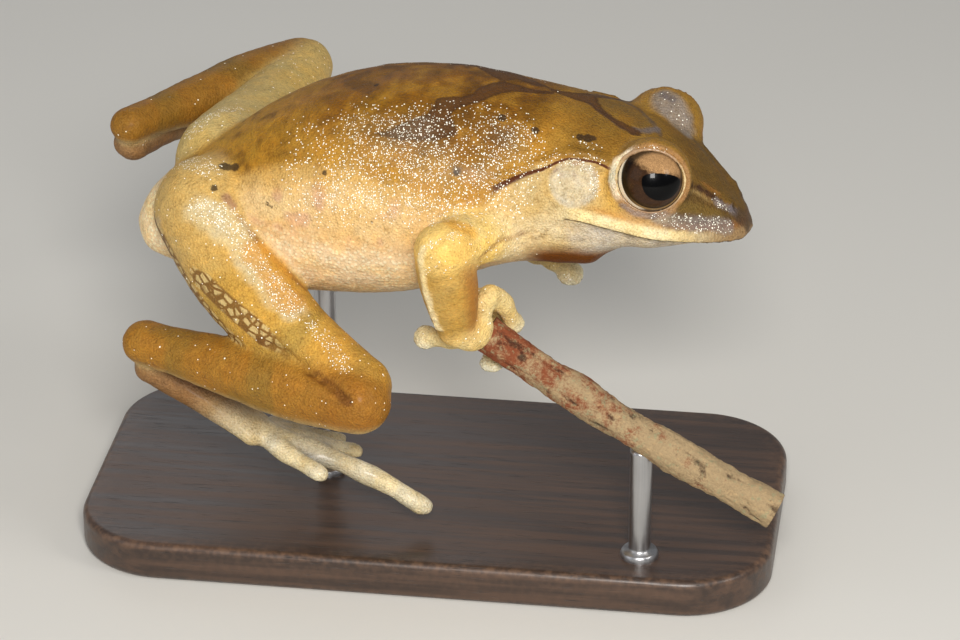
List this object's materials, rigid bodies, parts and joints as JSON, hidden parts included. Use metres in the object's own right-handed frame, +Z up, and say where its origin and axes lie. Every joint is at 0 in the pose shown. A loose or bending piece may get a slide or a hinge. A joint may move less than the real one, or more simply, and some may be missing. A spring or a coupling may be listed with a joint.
{
  "type": "spot-legged tree frog",
  "caption": "Life-size tree frog crouched with its right hand on the broken end of a twig, held by a flat base with upright rods.",
  "frame": {"origin": "centre of the underside of the stand's base", "axes": "+X forward to the snout, +Y to the frog's left, +Z up"},
  "size_m": [0.0712, 0.0621, 0.0496],
  "materials": {
    "skin": "moist, finely granular",
    "eye": "wet gloss",
    "bark": "rough bark",
    "base_board": "satin dark stain",
    "rod_steel": "brushed"
  },
  "bodies": {
    "root": {"torso": "skin", "head": "skin", "upper_arm_right": "skin", "forearm_right": "skin", "upper_arm_left": "skin", "forearm_left": "skin", "thigh_right": "skin", "shank_right": "skin", "thigh_left": "skin", "shank_left": "skin", "hand_right": "skin", "hand_left": "skin", "foot_right": "skin", "foot_left": "skin", "eye_right": "eye", "eye_left": "eye", "perch_twig": "bark", "stand_base": "base_board", "stand_rod_body": "rod_steel", "stand_rod_perch": "rod_steel"}
  },
  "joints": []
}
